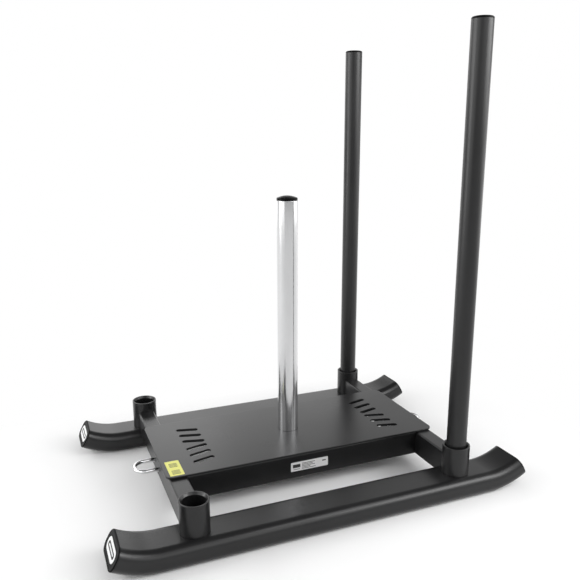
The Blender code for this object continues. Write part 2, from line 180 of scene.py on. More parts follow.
@dataclass(frozen=True)
class Layer:
    """One texture of a finish, in waves to the metre, and what it does there."""

    waves: float
    detail: float
    pattern: Pattern = Pattern.NOISE
    stretch: Triple = (1.0, 1.0, 1.0)
    tones: Pair | None = None  # factors of the colour
    gloss: Pair | None = None  # added to the roughness
    relief: Pair | None = None  # strength, and height in metres

    def draw(self, bench: Bench) -> Wire:
        """Lays out the texture over the piece's own coordinates.

        Args:
            bench: The finish's nodes.

        Returns:
            The texture's value.
        """
        kind, output, *_ = self.pattern.value
        where = bench.add("TexCoord")["Object"]
        where = bench.add("Mapping", {"Vector": where, "Scale": self.stretch})["Vector"]
        return bench.add(kind, {"Vector": where, "Scale": self.waves, "Detail": self.detail})[output]


@dataclass(frozen=True)
class Finish:
    """A surface finish: a colour and a roughness, with layers of texture that change them."""

    name: str
    slot: Slot | None
    colour: Triple
    roughness: float
    layers: tuple[Layer, ...]
    settings: tuple[tuple[str, float], ...] = ()

    def material(self) -> bpy.types.Material:
        """Makes the finish's material when it is first asked for.

        Returns:
            The material that all its pieces share.
        """
        found = bpy.data.materials.get(self.name)
        if found is None:
            found = bpy.data.materials.new(self.name)
            found.use_nodes = True
            self.draw(Bench(found.node_tree))
        return found

    def draw(self, bench: Bench) -> None:
        """Lays out the layers: tones blend the colour, gloss adds up, and reliefs lie one over another.

        Args:
            bench: The finish's nodes.
        """
        sockets = dict(self.settings)
        base = self.roughness
        for layer in self.layers:
            texture = layer.draw(bench)
            span = layer.pattern.value[2:]
            if layer.tones:
                dark, bright = ((*(part * factor for part in self.colour), 1.0) for factor in layer.tones)
                share = bench.spread(texture, 0.0, 1.0, *span)
                blend = {BLEND_SHARE: share, BLEND_FIRST: dark, BLEND_SECOND: bright}
                sockets["Base Color"] = bench.add("Mix", blend, data_type="RGBA")[BLEND_RESULT]
            if layer.gloss:
                low, high = layer.gloss
                part = bench.spread(texture, base + low, base + high, *span)
                sockets["Roughness"] = part if base else bench.math("ADD", sockets["Roughness"], part)
                base = 0.0
            if layer.relief:
                under = {"Normal": sockets["Normal"]} if "Normal" in sockets else {}
                strength, height = layer.relief
                raised = {"Height": texture, "Strength": strength, "Distance": height, **under}
                sockets["Normal"] = bench.add("Bump", raised)["Normal"]
        bench.add("OutputMaterial", {"Surface": bench.add("BsdfPrincipled", sockets)[0]})


def polish(waves: float, stretch: Triple) -> tuple[Layer, Layer]:
    """Chrome's faint haze, and its polishing lines in waves to the metre, stretched along an axis."""
    return (Layer(18.0, 4.0, tones=(0.97, 1.02), gloss=(-0.03, 0.03)),
            Layer(waves, 3.0, stretch=stretch, gloss=(-0.02, 0.03), relief=(0.35, 0.00001)))


METAL = (("Metallic", 1.0),)

# Baked powder paint: clouded colour and gloss, a faint orange peel, and a finer grain over it
FRAME_COAT = Finish("frame_powder_coat", Slot.FRAME, (0.0100, 0.0100, 0.0104), 0.30, (
    Layer(7.0, 4.0, tones=(0.85, 1.15), gloss=(-0.025, 0.025)),
    Layer(330.0, 1.0, relief=(0.5, 0.00004)),
    Layer(1500.0, 2.0, gloss=(-0.02, 0.02), relief=(0.5, 0.000008))), (("IOR", 1.44),))
POLE_COAT = replace(FRAME_COAT, name="pole_powder_coat", slot=Slot.POLE, colour=(0.0108, 0.0108, 0.0112),
                    roughness=0.34)

# Bright plated steel: lines along the post, and none that follow the bent loops
POST_CHROME = Finish("post_chrome_plate", Slot.POST, (0.56, 0.562, 0.568), 0.16,
                     polish(1800.0, (1.0, 1.0, 0.02)), METAL)
LOOP_CHROME = Finish("loop_chrome_plate", Slot.LOOP, (0.70, 0.70, 0.71), 0.07,
                     polish(900.0, (1.0, 1.0, 1.0)), METAL)

# Zinc plate on fasteners: cool grey crystals under a fine mottle
ZINC_PLATE = Finish("zinc_fasteners", Slot.ZINC, (0.58, 0.60, 0.63), 0.36, (
    Layer(700.0, 0.0, Pattern.CELLS, tones=(0.86, 1.1)),
    Layer(260.0, 3.0, gloss=(-0.07, 0.07), relief=(0.4, 0.00003))), METAL)

# Black moulded plastic: the pits of the mould's grain, and flow marks in the colour and the gloss
CAP_PLASTIC = Finish("cap_moulding", Slot.CAP, (0.0040, 0.0040, 0.0042), 0.50, (
    Layer(1100.0, 0.0, Pattern.PITS, relief=(0.5, 0.00004)),
    Layer(45.0, 3.0, tones=(0.85, 1.2), gloss=(-0.04, 0.05))), (("Specular IOR Level", 0.10),))
GLOSS_PLASTIC = replace(CAP_PLASTIC, name="tube_cap_moulding", colour=(0.0022, 0.0022, 0.0023),
                        roughness=0.28, settings=(("Specular IOR Level", 0.07),))

# Printed films and inks, which have no finish in the record: an even wash over fine fibres
WHITE_INK = Finish("white_ink", None, (0.86, 0.86, 0.86), 0.42, (
    Layer(2200.0, 3.0, stretch=(1.0, 1.0, 0.35), gloss=(-0.05, 0.06), relief=(0.3, 0.00001)),
    Layer(60.0, 2.0, tones=(0.94, 1.0))))
YELLOW_FILM = replace(WHITE_INK, name="yellow_film", colour=(0.755, 0.745, 0.155), roughness=0.36)
SILVER_FOIL = replace(WHITE_INK, name="silver_foil", colour=(0.76, 0.76, 0.76), roughness=0.38)
BLACK_INK = replace(WHITE_INK, name="black_ink", colour=(0.016, 0.016, 0.016), roughness=0.45)
GREY_INK = replace(WHITE_INK, name="grey_ink", colour=(0.10, 0.10, 0.10), roughness=0.45)


# Outlines


def unit(vectors: Array) -> Array:
    """Vectors scaled to length one along their last axis."""
    return vectors / np.linalg.norm(vectors, axis=-1, keepdims=True)


def soften(corners: Array, radii: Array | float, steps: int, support: float, closed: bool = True) -> Array:
    """Rounds the corners of a flat line.

    A corner P with unit directions u and v to its neighbours and half its angle h becomes an arc of radius r
    about P + r / sin(h) along the bisector, from P + u r / tan(h) to P + v r / tan(h). A support point stands
    a little outside each end of the arc, so that flat faces stay flat when shaded.

    Args:
        corners: Corner points, (n, 2).
        radii: One radius for all the corners, or one each.
        steps: Pieces that each arc is cut into.
        support: Distance from an arc's end to its support point, where the side is long enough.
        closed: Whether the last corner joins the first. An open line keeps its two end points as they are.

    Returns:
        The points of the softened line, (m, 2).
    """
    radii = np.broadcast_to(radii, len(corners))[:, None]
    before, after = np.roll(corners, 1, axis=0), np.roll(corners, -1, axis=0)
    u, v = unit(before - corners), unit(after - corners)
    half = np.arccos(np.clip(np.sum(u * v, axis=-1, keepdims=True), -1.0, 1.0)) / 2
    reach = radii / np.tan(half)
    if not closed:
        reach[[0, -1]] = 0.0
    free = np.linalg.norm(after - corners, axis=-1, keepdims=True) - reach - np.roll(reach, -1, axis=0)
    room = np.minimum(support, SUPPORT_SHARE * free)
    middle = corners + unit(u + v) * radii / np.sin(half)
    start, stop = corners + u * reach, corners + v * reach
    sweep = (math.pi - 2 * half)[:, None]
    share = np.linspace(0.0, 1.0, steps + 1)[None, :, None]
    first, last = (start - middle)[:, None], (stop - middle)[:, None]
    spokes = np.sin((1 - share) * sweep) * first + np.sin(share * sweep) * last
    arcs = middle[:, None] + spokes / np.sin(sweep)
    sides = (start + u * np.roll(room, 1, axis=0))[:, None], arcs, (stop + v * room)[:, None]
    rounded = np.concatenate(sides, axis=1)
    if closed:
        return rounded.reshape(-1, 2)
    return np.concatenate([corners[:1], rounded[1:-1].reshape(-1, 2), corners[-1:]])


def turns_left(line: Array) -> bool:
    """Whether a closed flat line runs anticlockwise: the sum of its cross products is positive."""
    after = np.roll(line, -1, axis=0)
    return bool(np.sum(line[:, 0] * after[:, 1] - line[:, 1] * after[:, 0]) > 0)


def round_rectangle(width: float, height: float, radius: float, steps: int, support: float) -> Array:
    """A rectangle about the origin with round corners, anticlockwise from its lower right corner."""
    x, y = width / 2, height / 2
    return soften(np.array([[x, -y], [x, y], [-x, y], [-x, -y]]), radius, steps, support)


def circle(radius: float, sides: int) -> Array:
    """Points at equal angles on a circle about the origin."""
    angle = np.arange(sides) * TURN / sides
    return radius * np.stack([np.cos(angle), np.sin(angle)], axis=-1)


def spun(radius: Array, height: Array, sides: int) -> Array:
    """Rings round the Z axis, (r cos a, r sin a, h) at even angles a, from radii (n, 1) or (n, sides)."""
    x, y = circle(1.0, sides).T
    return np.stack(np.broadcast_arrays(radius * x, radius * y, height[:, None]), axis=-1)


def turned(profile: Array, sides: int) -> Array:
    """A profile of (radius, height) carried round the Z axis."""
    return spun(profile[:, :1], profile[:, 1], sides)


def lifted(line: Array, height: float) -> Array:
    """A flat line as points at one height."""
    return np.concatenate([line, np.full((len(line), 1), height)], axis=-1)


def quarter(radius: float, steps: int) -> tuple[Array, Array]:
    """How far a quarter round has moved in and along as it turns: r (1 - cos a) and r sin a."""
    angle = np.linspace(0.0, math.pi / 2, steps)
    return radius * (1 - np.cos(angle)), radius * np.sin(angle)


def shares(inner: float, support: float, steps: int = 13) -> Array:
    """Shares from -1 to 1 for a straight tube's stations, with a support line near each end."""
    return np.concatenate([[-1.0, -support], np.linspace(-inner, inner, steps), [support, 1.0]])


@dataclass(frozen=True)
class Cutout:
    """A round-cornered opening or rim in a flat plate, which can be drawn larger or smaller."""

    centre: Pair
    length: float
    width: float
    radius: float
    lean: float = 0.0
    steps: int = 6
    hole: bool = True
    support: float = 0.0004

    def line(self, inset: float = 0.0) -> Array:
        """The outline, moved into the plate's material, turned by its lean and put in place.

        Args:
            inset: How far it is moved.

        Returns:
            Its points, (n, 2).
        """
        grow = inset if self.hole else -inset
        sizes = self.length + 2 * grow, self.width + 2 * grow, self.radius + grow
        cos, sin = math.cos(self.lean), math.sin(self.lean)
        turn = np.array([[cos, sin], [-sin, cos]])
        return round_rectangle(*sizes, self.steps, self.support) @ turn + self.centre


@dataclass(frozen=True)
class Stand:
    """Where a shape drawn about its own origin stands: an origin and its three axes."""

    origin: Triple
    x_axis: Triple = (1.0, 0.0, 0.0)
    y_axis: Triple = (0.0, 1.0, 0.0)
    z_axis: Triple = (0.0, 0.0, 1.0)

    def place(self, points: Array) -> Array:
        """Own coordinates times the axes, added to the origin."""
        return points @ np.array([self.x_axis, self.y_axis, self.z_axis]) + self.origin


@dataclass
class Skin:
    """A surface in the making: blocks of points, and faces that name the points by number."""

    blocks: list[Array] = field(default_factory=list)
    faces: list[Array] = field(default_factory=list)
    count: int = 0

    def add(self, points: Array) -> Array:
        """Takes a block of points of any grid shape.

        Args:
            points: The points, (..., 3).

        Returns:
            The numbers of the points, in the same grid shape.
        """
        numbers = self.count + np.arange(points[..., 0].size).reshape(points.shape[:-1])
        self.blocks.append(points.reshape(-1, 3))
        self.count += numbers.size
        return numbers

    def cover(self, numbers: Array, round_ring: bool = True, round_rows: bool = False) -> Array:
        """Covers a grid of point numbers with quads.

        Args:
            numbers: The grid, one line of points per row.
            round_ring: Whether the last column joins the first.
            round_rows: Whether the last row joins the first.

        Returns:
            The grid that was given.
        """
        grid = np.pad(numbers, ((0, int(round_rows)), (0, int(round_ring))), mode="wrap")
        corners = grid[:-1, :-1], grid[:-1, 1:], grid[1:, 1:], grid[1:, :-1]
        self.faces.append(np.stack(corners, axis=-1).reshape(-1, 4))
        return numbers

    def wrap(self, grid: Array, round_rows: bool = False) -> Array:
        """Adds a grid of points whose rows are closed rings, and covers it."""
        return self.cover(self.add(grid), round_rows=round_rows)

    def tip(self, ring: Array, point: Array) -> None:
        """Closes a ring of point numbers with triangles that meet at one point."""
        centre = np.full(len(ring), self.add(point[None])[0])
        self.faces.append(np.stack([ring, np.roll(ring, -1), centre], axis=-1))

    def lathe(self, rings: Array, top: Array | None = None) -> None:
        """Covers rings from the first to the last and closes both ends.

        Args:
            rings: The rings, (rings, points, 3).
            top: Where the last ring closes, if not in its own middle.
        """
        numbers = self.wrap(rings)
        self.tip(numbers[0], rings[0].mean(axis=0))
        self.tip(numbers[-1], rings[-1].mean(axis=0) if top is None else top)

    def tube(self, outer: Array, inner: Array) -> None:
        """Covers a tube's outer and inner rings and joins the two walls at both ends.

        Args:
            outer: The outer wall's rings, (rings, points, 3).
            inner: The inner wall's.
        """
        walls = self.wrap(outer), self.wrap(inner)
        for row in (0, -1):
            self.cover(np.stack([wall[row] for wall in walls]))

    def fill(self, outline: Array, holes: Sequence[Array], axes: tuple[int, int]) -> None:
        """Covers the flat region inside a line of point numbers, less its holes.

        The triangles are those whose circles hold no other point of the lines (Delaunay), and the ones
        that lie in the outline alone are kept.

        Args:
            outline: Point numbers round the region.
            holes: Point numbers round each hole.
            axes: The two coordinates that the region is flat in.
        """
        points = np.concatenate(self.blocks)[:, axes]
        loops = [loop if turns_left(points[loop]) else loop[::-1] for loop in (outline, *holes)]
        numbers = np.concatenate(loops)
        starts = np.cumsum([0, *(len(loop) for loop in loops)])
        lines = [np.arange(start, stop).tolist() for start, stop in zip(starts, starts[1:])]
        corners, _, triangles, _, _, regions = delaunay_2d_cdt(
            points[numbers].tolist(), [], lines, INSIDE_LINES, MERGE_DISTANCE, True)
        if len(corners) != len(numbers):
            raise ValueError("the lines of a flat face cross or meet")
        solid = [triangle for triangle, region in zip(triangles, regions) if list(region) == [0]]
        self.faces.append(numbers[np.array(solid)])

    def mesh(self, name: str) -> bpy.types.Mesh:
        """Makes the mesh, without unused points, with its faces turned outwards and its sharp edges marked.

        Args:
            name: The mesh's name.

        Returns:
            The finished mesh.
        """
        used = np.unique(np.concatenate([block.ravel() for block in self.faces]))
        faces = [face for block in self.faces for face in np.searchsorted(used, block).tolist()]
        mesh = bpy.data.meshes.new(name)
        mesh.from_pydata(np.concatenate(self.blocks)[used].tolist(), [], faces)
        bm = bmesh.new()
        bm.from_mesh(mesh)
        bmesh.ops.recalc_face_normals(bm, faces=bm.faces)
        bm.to_mesh(mesh)
        bm.free()
        mesh.shade_smooth()
        mesh.set_sharp_from_angle(angle=SOFT_EDGE_ANGLE)
        return mesh

    def make(self, name: str, finish: Finish, body: Body = Body.SLED, nodes: Sequence[str] = ()) -> None:
        """Makes a piece of the object.

        Args:
            name: The piece's name.
            finish: What it is coated with.
            body: What it moves with.
            nodes: The plain solids that it stands for.
        """
        mesh = self.mesh(name)
        mesh.materials.append(finish.material())
        piece = bpy.data.objects.new(name, mesh)
        bpy.context.scene.collection.objects.link(piece)
        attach(piece, body.value)
        if nodes:
            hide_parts(*nodes)
        LOG.info("%s: %d faces", name, len(mesh.polygons))


# Frame


@dataclass(frozen=True, kw_only=True)
class FramePart:
    """A piece of the frame, with the sizes that these pieces share."""

    socket_x: float = 0.3143
    socket_radius: float = 0.0314
    runner_y: float = 0.2769
    runner_width: float = 0.100
    runner_height: float = 0.050
    runner_corner: float = 0.020
    tube_low: float = 0.035
    tube_high: float = 0.095
    tube_corners: Pair = (0.004, 0.0024)
    tube_corner_steps: int = 6
    tube_support: float = 0.0006
    wall: float = 0.002

    @property
    def runner_top(self) -> float:
        """The height of what stands on the runners."""
        return self.runner_height + GAP

    @property
    def tube_middle(self) -> float:
        """The middle height of the crossbars and rails."""
        return (self.tube_low + self.tube_high) / 2


@dataclass(frozen=True)
class Runner(FramePart):
    """A wide round-cornered tube on the floor, bent up at both ends, with a moulded cap in each."""

    side: Side
    straight: float = 0.387
    bend_radius: float = 0.185
    bend_angle: float = math.radians(29.0)
    bend_steps: int = 22
    corner_steps: int = 12
    corner_support: float = 0.0008
    spans: Pair = (0.9, 0.985)  # of the straight: its even stations, and its support lines
    flange: float = 0.0028
    flange_round: float = 0.0024
    flange_steps: int = 8
    groove_inset: float = 0.0048
    groove_width: float = 0.0016
    groove_depth: float = 0.0005
    groove_steps: int = 9
    face_insets: Triple = (0.007, 0.012, 0.018)
    plug: tuple[Pair, ...] = (  # inset from the tube's inside, and depth in it
        (0.004, 0.014), (0.0015, 0.014), (0.0012, 0.013), (0.0, 0.011), (0.0, 0.006), (0.0012, 0.005))
    mark_length: float = 0.074
    mark_height: float = 0.0255
    mark_line: float = 0.0074
    mark_round: float = 0.99  # the ring's corners, as a share of half its height
    mark_bar: Triple = (0.046, 0.0040, 0.0019)
    mark_film: float = 0.00012
    mark_lift: float = 0.00002

    def path(self, turn: Array, past: Array | float = 0.0) -> Places:
        """Follows the tube's centreline, whose bends turn about a high centre.

        A point is the centre plus the radius times (sin, -cos) of the turn, moved forward by past.

        Args:
            turn: Angles that the path has turned by, negative at the front.
            past: How far the points lie past there, out of the sled's end.

        Returns:
            The points, their forward directions and their upward directions, (n, 3) each.
        """
        zero = np.zeros_like(turn)
        forward = np.stack([np.cos(turn), zero, np.sin(turn)], axis=-1)
        upward = np.stack([-np.sin(turn), zero, np.cos(turn)], axis=-1)
        sign = np.sign(turn)
        height = self.bend_radius + self.runner_height / 2
        centre = np.stack([sign * self.straight, zero, zero + height], axis=-1)
        return centre - self.bend_radius * upward + forward * (sign * past)[..., None], forward, upward

    def stations(self) -> Places:
        """Lays out stations through the front bend, the straight and the rear bend.

        Returns:
            Their points, forward directions and upward directions, (n, 3) each.
        """
        bend = np.linspace(0.0, self.bend_angle, self.bend_steps + 1)[1:]
        front, rear = self.path(-bend[::-1]), self.path(bend)
        x = shares(*self.spans)[:, None] * self.straight * X_AXIS
        middle = x + Z_AXIS * self.runner_height / 2, x * 0.0 + X_AXIS, x * 0.0 + Z_AXIS
        return tuple(np.concatenate(parts) for parts in zip(front, middle, rear))

    def section(self, inset: float) -> Array:
        """The tube's section, (across, up), drawn inwards by inset."""
        sizes = self.runner_width - 2 * inset, self.runner_height - 2 * inset, self.runner_corner - inset
        return round_rectangle(*sizes, self.corner_steps, self.corner_support)

    def carried(self, sections: Array, stations: Places) -> Array:
        """Carries sections along: point = station + across * Y + up * the station's upward direction.

        Args:
            sections: One section, (m, 2), or one for each station, (n, m, 2).
            stations: Points, forward directions and upward directions.

        Returns:
            The rings, (n, m, 3).
        """
        point, _, upward = stations
        rings = point[:, None] + sections[..., :1] * Y_AXIS + sections[..., 1:] * upward[:, None]
        return rings + self.side.value * self.runner_y * Y_AXIS

    def build(self) -> None:
        """The tube, then a cap and its mark at each end."""
        skin = Skin()
        skin.tube(*(self.carried(self.section(inset), self.stations()) for inset in (0.0, self.wall)))
        side = self.side.word
        skin.make(f"{side}_runner_tube", FRAME_COAT, nodes=[f"{side}_runner"])
        for end in End:
            self.build_cap(end)
            self.build_mark(end)

    def build_cap(self, end: End) -> None:
        """A cap: ribbed plug in the tube, flange over its end, and a shallow groove inside the flange's edge.

        The section follows a profile of (inset, distance past the tube's end). The groove falls as a wave.

        Args:
            end: The end of the sled that it closes.
        """
        fit, face = self.wall + GAP, GAP + self.flange
        stem = [(fit + inset, -depth) for inset, depth in self.plug]
        shoulder = face - self.flange_round
        rim = [(stem[-1][0], GAP), (CRISP, GAP), (0.0, GAP + CRISP), (0.0, shoulder - CRISP / 2)]
        inset, along = quarter(self.flange_round, self.flange_steps)
        edge = np.stack([inset, shoulder + along], axis=-1)
        share = np.linspace(0.0, 1.0, self.groove_steps)
        fall = self.groove_depth * (0.5 - 0.5 * np.cos(math.pi * share))
        groove = np.stack([self.groove_inset + self.groove_width * share, face - fall], axis=-1)
        flat = [(inset, face - self.groove_depth) for inset in self.face_insets]
        profile = np.concatenate([stem, rim, edge, [(self.flange_round + SUPPORT, face)], groove, flat])
        sections = np.stack([self.section(inset) for inset in profile[:, 0]])
        turn = np.full(len(profile), end.value * self.bend_angle)
        skin = Skin()
        skin.lathe(self.carried(sections, self.path(turn, profile[:, 1])))
        name = f"{end.word}_{self.side.word}"
        skin.make(f"{name}_cap_moulding", CAP_PLASTIC, nodes=[f"{name}_end_cap"])

    def build_mark(self, end: End) -> None:
        """A plain printed ring with straight sides and a short bar in its middle, on the cap's face.

        Args:
            end: The end of the sled whose cap it is on.
        """
        turn = np.array(end.value * self.bend_angle)
        face = np.array(GAP + self.flange - self.groove_depth + self.mark_lift)
        point, forward, upward = self.path(turn, face)
        origin = point + self.side.value * self.runner_y * Y_AXIS
        stand = Stand(tuple(origin), (0.0, 1.0, 0.0), tuple(upward), tuple(end.value * forward))
        rows = ((0.0, 0.0), (0.0, self.mark_film), (self.mark_line, self.mark_film), (self.mark_line, 0.0))
        radius = self.mark_height / 2
        ring = [
            lifted(Cutout((0.0, 0.0), self.mark_length - 2 * inset, 2 * (radius - inset),
                          (radius - inset) * self.mark_round, steps=14).line(), height)
            for inset, height in rows]
        skin = Skin()
        skin.wrap(stand.place(np.stack(ring)), round_rows=True)
        bar = Cutout((0.0, 0.0), *self.mark_bar, steps=8).line()
        skin.lathe(stand.place(np.stack([lifted(bar, 0.0), lifted(bar, self.mark_film)])))
        skin.make(f"{end.word}_{self.side.word}_cap_mark", WHITE_INK)


@dataclass(frozen=True)
class Socket(FramePart):
    """A short thick-walled tube welded upright on a runner, with a softened rim and a funnelled mouth."""

    end: End
    side: Side
    top: float = 0.1204
    bore: float = 0.025
    rim: float = 0.0011
    mouth_width: float = 0.0035
    mouth_depth: float = 0.0055
    mouth_edges: Pair = (0.0004, 0.0010)
    foot_edge: float = 0.0002
    sides: int = 112

    def build(self) -> None:
        """The wall's outline is softened and turned about the socket's axis."""
        wall = np.array([
            [self.socket_radius, self.runner_top], [self.socket_radius, self.top],
            [self.bore + self.mouth_width, self.top], [self.bore, self.top - self.mouth_depth],
            [self.bore, self.runner_top]])
        radii = np.array([self.foot_edge, self.rim, *self.mouth_edges, self.foot_edge])
        stand = Stand((self.end.value * self.socket_x, self.side.value * self.runner_y, 0.0))
        skin = Skin()
        profile = soften(wall, radii, steps=5, support=CRISP)
        skin.wrap(stand.place(turned(profile, self.sides)), round_rows=True)
        name = f"{self.end.word}_{self.side.word}_socket"
        skin.make(f"{name}_ring", FRAME_COAT, nodes=[name])


@dataclass(frozen=True)
class Crossbar(FramePart):
    """A tube across the sled, its ends cut to the sockets and the runners, drilled through for a tow loop."""

    end: End
    depth: float = 0.040
    step: float = 0.00002  # in height, between the end's cut to the socket and its cut to the runner
    spans: Pair = (0.93, 0.995)
    drill: float = 0.0055
    drill_offset: float = 0.026
    drill_sides: int = 40

    def reach(self, x: Array, z: Array) -> Array:
        """How far from the middle the tube's wall ends, at a place in its section.

        Above the runner the end is the socket's circle: the socket's distance less sqrt(r^2 - x^2). Beside
        the runner it is its rounded shoulder: the flank's distance plus the round's fall at that height.

        Args:
            x: Places along the sled, from the tube's middle.
            z: Their heights.

        Returns:
            The distances.
        """
        ring = self.socket_radius + GAP
        above = self.runner_y - np.sqrt(ring**2 - x**2)
        shoulder = self.runner_corner + GAP
        rise = np.clip(z - (self.runner_height - self.runner_corner), 0.0, shoulder)
        flank = self.runner_y - (self.runner_width / 2 - self.runner_corner)
        return np.where(z > self.runner_top, above, flank - np.sqrt(shoulder**2 - rise**2))

    def section(self, inset: float, corner: float) -> tuple[Array, int]:
        """Draws the tube's section as a round strip above, a step in one flank, its mirror image and a step.

        Args:
            inset: How far the section is drawn inwards.
            corner: The radius of its corners.

        Returns:
            The section as (x, z), and how many of its points belong to each round strip.
        """
        half, low, high = self.depth / 2 - inset, self.tube_low + inset, self.tube_high - inset
        corners = np.array([[half, low], [half, high], [-half, high], [-half, low]])
        strip = soften(corners, corner, self.tube_corner_steps, self.tube_support, closed=False)[1:-1]
        mirror = strip[::-1] * (1.0, -1.0) + (0.0, low + high)
        left = np.array([[-half, self.runner_top + self.step], [-half, self.runner_top]])
        right = left[::-1] * (-1.0, 1.0)
        return np.concatenate([strip, left, mirror, right]), len(strip)

    def drilling(self, depth: float, side: Side) -> Array:
        """A drilling's circle, through a flat wall at a depth from the tube's middle."""
        centre = (self.end.value * self.socket_x + depth, side.value * self.drill_offset, self.tube_middle)
        return np.pad(circle(self.drill, self.drill_sides), ((0, 0), (1, 0))) + centre

    def build(self) -> None:
        """Round strips above and below as grids, flanks filled round the drillings, and the ends closed."""
        share = shares(*self.spans)
        skin = Skin()
        walls, drillings = [], []
        for inset, corner in zip((0.0, self.wall), self.tube_corners):
            section, strip = self.section(inset, corner)
            x, z = section.T
            places = np.broadcast_arrays(x, share[:, None] * self.reach(x, z), z)
            wall = skin.add(np.stack(places, axis=-1) + self.end.value * self.socket_x * X_AXIS)
            for start in (0, strip + 2):
                skin.cover(wall[:, start:start + strip], round_ring=False)
            depth = self.depth / 2 - inset
            holes = [[skin.add(self.drilling(face * depth, side)) for side in Side] for face in (-1, 1)]
            for start, pair in zip((strip - 1, 2 * strip + 1), holes):
                face = np.roll(wall, -start, axis=1)[:, :4]
                outline = np.concatenate([face[:, 0], face[-1, 1:-1], face[::-1, -1], face[0, -2:0:-1]])
                skin.fill(outline, pair, (1, 2))
            walls.append(wall)
            drillings.append([*holes[0], *holes[1]])
        for row in (0, -1):
            skin.cover(np.stack([wall[row] for wall in walls]))
        for rings in zip(*drillings):
            skin.cover(np.stack(rings))
        name = f"{self.end.word}_crossbar"
        skin.make(f"{name}_tube", FRAME_COAT, nodes=[name])


@dataclass(frozen=True)
class DeckRail(FramePart):
    """A tube along the sled under the deck's edge, between the crossbars."""

    side: Side
    offset: float = 0.123
    width: float = 0.030
    half_length: float = 0.294
    spans: Pair = (0.9, 0.999)

    def build(self) -> None:
        """An outer and an inner wall carried straight along X, joined at both ends."""
        x = shares(*self.spans)[:, None, None] * self.half_length * X_AXIS
        middle = self.side.value * self.offset * Y_AXIS + self.tube_middle * Z_AXIS
        walls = []
        for inset, corner in zip((0.0, self.wall), self.tube_corners):
            sizes = self.width - 2 * inset, self.tube_high - self.tube_low - 2 * inset
            section = round_rectangle(*sizes, corner, self.tube_corner_steps, self.tube_support)
            walls.append(x + np.pad(section, ((0, 0), (1, 0))) + middle)
        skin = Skin()
        skin.tube(*walls)
        name = f"{self.side.word}_deck_rail"
        skin.make(f"{name}_tube", FRAME_COAT, nodes=[name])


@dataclass(frozen=True)
class Deck(FramePart):
    """The plate over the frame, with softened edges, the post's hole and six leaning slots at each end."""

    length: float = 0.682
    width: float = 0.284
    thickness: float = 0.005
    corner: float = 0.016
    edge: float = 0.001
    slot_edge: float = 0.0005
    edge_steps: int = 5
    slot_x: float = 0.242
    slot_count: int = 6
    slot_pitch: float = 0.0335
    slot_length: float = 0.054
    slot_width: float = 0.013
    slot_radius: float = 0.0064
    slot_lean: float = math.radians(14.0)
    post_hole: float = 0.0253
    post_hole_sides: int = 96

    def cutouts(self) -> list[Callable[[float], Array]]:
        """Lays out the post's hole, then the slots, which lean away from the middle.

        Returns:
            Each cutout's outline as a function of how far it is moved into the plate.
        """
        rows = (np.arange(self.slot_count) - (self.slot_count - 1) / 2) * self.slot_pitch
        sizes = self.slot_length, self.slot_width, self.slot_radius
        slots = [
            Cutout((end.value * self.slot_x, y), *sizes, math.copysign(self.slot_lean, end.value * y)).line
            for end in End for y in rows.tolist()]
        return [lambda inset: circle(self.post_hole + inset, self.post_hole_sides), *slots]

    def edge_rings(self, line: Callable[[float], Array], edge: float) -> Array:
        """Carries an outline down through the plate, with a quarter round at its top and at its bottom edge.

        Args:
            line: The outline as a function of how far it is moved into the plate.
            edge: The radius of the quarter rounds.

        Returns:
            The rings, from the upper face to the lower one.
        """
        low = self.tube_high + GAP
        drop, along = quarter(edge, self.edge_steps)
        inset, far = edge - along, [edge + SUPPORT]
        insets = np.concatenate([far, inset, inset[::-1], far])
        high = low + self.thickness
        heights = np.concatenate([[high], high - drop, (low + drop)[::-1], [low]])
        return np.stack([lifted(line(step), height) for step, height in zip(insets, heights)])

    def build(self) -> None:
        """Edges as rings, and the two flat faces filled between them."""
        outline = Cutout((0.0, 0.0), self.length, self.width, self.corner, steps=10, hole=False)
        skin = Skin()
        rim = skin.wrap(self.edge_rings(outline.line, self.edge))
        holes = [skin.wrap(self.edge_rings(cutout, self.slot_edge)) for cutout in self.cutouts()]
        for row in (0, -1):
            skin.fill(rim[row], [hole[row] for hole in holes], (0, 1))
        skin.make("deck_plate_sheet", FRAME_COAT, nodes=["deck_plate"])


# Round tubes


